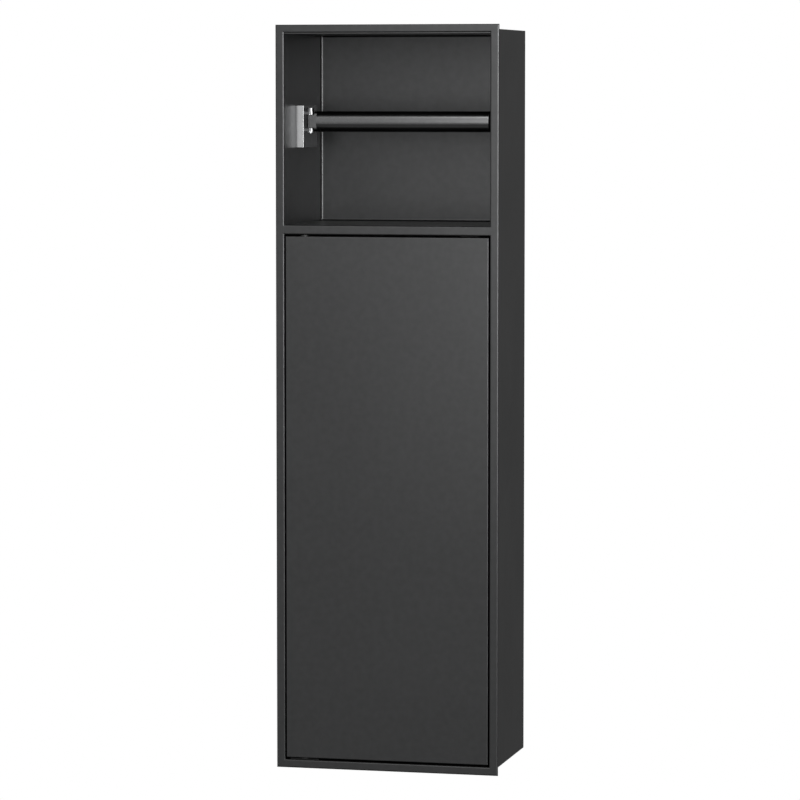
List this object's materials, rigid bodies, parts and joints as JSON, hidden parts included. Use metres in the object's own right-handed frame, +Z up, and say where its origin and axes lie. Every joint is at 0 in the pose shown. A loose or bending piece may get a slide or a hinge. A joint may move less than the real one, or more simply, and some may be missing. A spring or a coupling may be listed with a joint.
{
  "type": "recessed toilet roll and brush cabinet",
  "caption": "Recessed wall cabinet with an open toilet roll niche and swing-out roll bar above a flush push-to-open door that hides a toilet brush set.",
  "frame": {"origin": "centre of the four wall fixings, on the back face of the box", "axes": "+Y into the wall, +Z up, +X to the right for someone facing the cabinet"},
  "size_m": [0.2, 0.13, 0.655],
  "materials": {
    "graphite_outside": "satin graphite coating with a fine brushed grain",
    "graphite_lining": "satin graphite coating",
    "graphite_bar": "satin graphite coating on a turned bar",
    "galvanised_steel": "plain zinc-coated sheet",
    "steel_hardware": "bright zinc-plated hardware",
    "black_hardware": "blackened steel hardware, so that it doesn't show in the door's gap",
    "brushed_steel": "brushed stainless steel",
    "black_plastic": "moulded black plastic",
    "liner_plastic": "dark grey moulded plastic",
    "bristles": "black nylon bristles",
    "bumper_rubber": "soft rubber",
    "magnet": "nickel-plated magnet"
  },
  "bodies": {
    "cabinet": {"front_frame": "graphite_outside", "box_left": "graphite_outside", "box_right": "graphite_outside", "box_bottom": "graphite_outside", "box_top": "graphite_outside", "box_back": "graphite_outside", "niche_tray": "graphite_lining", "lower_tray": "graphite_lining", "lower_tray_sides": "graphite_lining", "tray_spacers": "steel_hardware", "tray_screws": "graphite_outside", "upper_pivot_plate": "black_hardware", "lower_pivot_plate": "black_hardware", "upper_pivot_pin": "black_hardware", "lower_pivot_pin": "black_hardware", "thrust_washer": "black_plastic", "pivot_rivets": "black_hardware", "latch_housing": "black_plastic", "latch_spring": "steel_hardware", "latch_screws": "steel_hardware", "stop_brackets": "steel_hardware", "door_bumpers": "bumper_rubber", "bracket_base": "steel_hardware", "bracket_screws": "steel_hardware", "bracket_nuts": "steel_hardware", "bracket_body": "graphite_bar", "bracket_grub_screw": "steel_hardware", "swing_pin": "graphite_bar", "swing_clip": "steel_hardware", "swing_washers": "black_plastic", "brush_bracket_plate": "brushed_steel", "brush_bracket_screws": "steel_hardware", "cup_ring": "brushed_steel"},
    "door": {"door_panel": "graphite_outside", "door_lining": "graphite_lining", "door_stiffener": "galvanised_steel", "upper_bush": "black_plastic", "lower_bush": "black_plastic", "strike_plate": "steel_hardware", "strike_screws": "steel_hardware"},
    "roll_bar": {"bar_knuckle": "graphite_bar", "bar_tube": "graphite_bar", "bar_cap": "graphite_bar"},
    "plunger": {"latch_plunger": "black_plastic", "latch_magnet": "magnet"},
    "cup": {"brush_cup": "brushed_steel", "cup_liner": "liner_plastic"},
    "brush": {"brush_tuft": "bristles", "brush_core": "black_plastic", "brush_lid": "brushed_steel", "brush_rod": "brushed_steel", "brush_grip": "brushed_steel", "grip_cap": "brushed_steel"}
  },
  "joints": [
    {"name": "door_hinge", "type": "hinge", "parent": "cabinet", "child": "door", "pos_m": [-0.0751, -0.125, 0], "axis": [0, 0, -1], "range_deg": [0, 105]},
    {"name": "bar_swing", "type": "hinge", "parent": "cabinet", "child": "roll_bar", "pos_m": [-0.0811, -0.082, 0.3304], "axis": [0, 0, -1], "range_deg": [0, 90]},
    {"name": "latch_push", "type": "slide", "parent": "cabinet", "child": "plunger", "axis": [0, 1, 0], "range_m": [0, 0.003], "stiffness_N_per_m": 300, "deforming": ["latch_spring"]},
    {"name": "cup_lift", "type": "slide", "parent": "cabinet", "child": "cup", "axis": [0, 0, 1], "range_m": [0, 0.012]},
    {"name": "brush_lift", "type": "slide", "parent": "cup", "child": "brush", "axis": [0, 0, 1], "range_m": [0, 0.084]}
  ]
}
